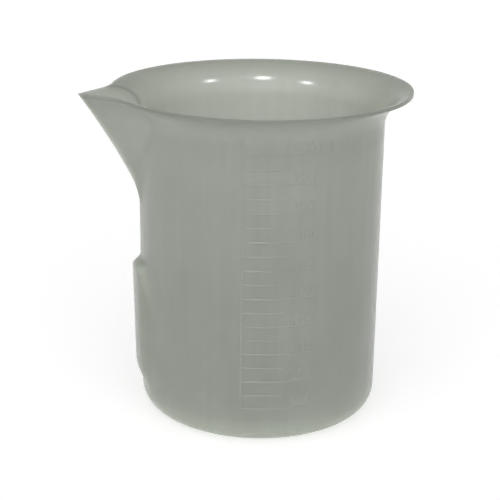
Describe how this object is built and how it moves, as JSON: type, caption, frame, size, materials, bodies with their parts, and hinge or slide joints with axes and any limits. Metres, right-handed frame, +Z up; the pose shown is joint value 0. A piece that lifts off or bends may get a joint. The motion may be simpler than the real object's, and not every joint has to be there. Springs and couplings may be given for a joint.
{
  "type": "beaker",
  "caption": "Low-form plastic laboratory beaker with a flared rim, a deep V-shaped pouring spout, a rounded foot and a raised volume scale up the wall.",
  "frame": {"origin": "on the vessel's axis, at the height that the foot ring stands on", "axes": "+Z up along the axis, the spout points along -X, the volume scale faces -Y"},
  "size_m": [0.1438, 0.1292, 0.144],
  "materials": {
    "body": "translucent polypropylene, as moulded",
    "scale": "relief of the same translucent polypropylene"
  },
  "bodies": {
    "root": {"beaker_body": "body", "scale_spine": "scale", "tick_0100_ml": "scale", "tick_0150_ml": "scale", "tick_0200_ml": "scale", "tick_0250_ml": "scale", "tick_0300_ml": "scale", "tick_0350_ml": "scale", "tick_0400_ml": "scale", "tick_0450_ml": "scale", "tick_0500_ml": "scale", "tick_0550_ml": "scale", "tick_0600_ml": "scale", "tick_0650_ml": "scale", "tick_0700_ml": "scale", "tick_0750_ml": "scale", "tick_0800_ml": "scale", "tick_0850_ml": "scale", "tick_0900_ml": "scale", "tick_0950_ml": "scale", "tick_1000_ml": "scale", "numeral_0100_hundreds": "scale", "numeral_0100_tens": "scale", "numeral_0100_ones": "scale", "numeral_0200_hundreds": "scale", "numeral_0200_tens": "scale", "numeral_0200_ones": "scale", "numeral_0300_hundreds": "scale", "numeral_0300_tens": "scale", "numeral_0300_ones": "scale", "numeral_0400_hundreds": "scale", "numeral_0400_tens": "scale", "numeral_0400_ones": "scale", "numeral_0500_hundreds": "scale", "numeral_0500_tens": "scale", "numeral_0500_ones": "scale", "numeral_0600_hundreds": "scale", "numeral_0600_tens": "scale", "numeral_0600_ones": "scale", "numeral_0700_hundreds": "scale", "numeral_0700_tens": "scale", "numeral_0700_ones": "scale", "numeral_0800_hundreds": "scale", "numeral_0800_tens": "scale", "numeral_0800_ones": "scale", "numeral_0900_hundreds": "scale", "numeral_0900_tens": "scale", "numeral_0900_ones": "scale", "numeral_1000_thousands": "scale", "numeral_1000_hundreds": "scale", "numeral_1000_tens": "scale", "numeral_1000_ones": "scale", "unit_letter_m": "scale", "unit_letter_l": "scale"}
  },
  "joints": []
}
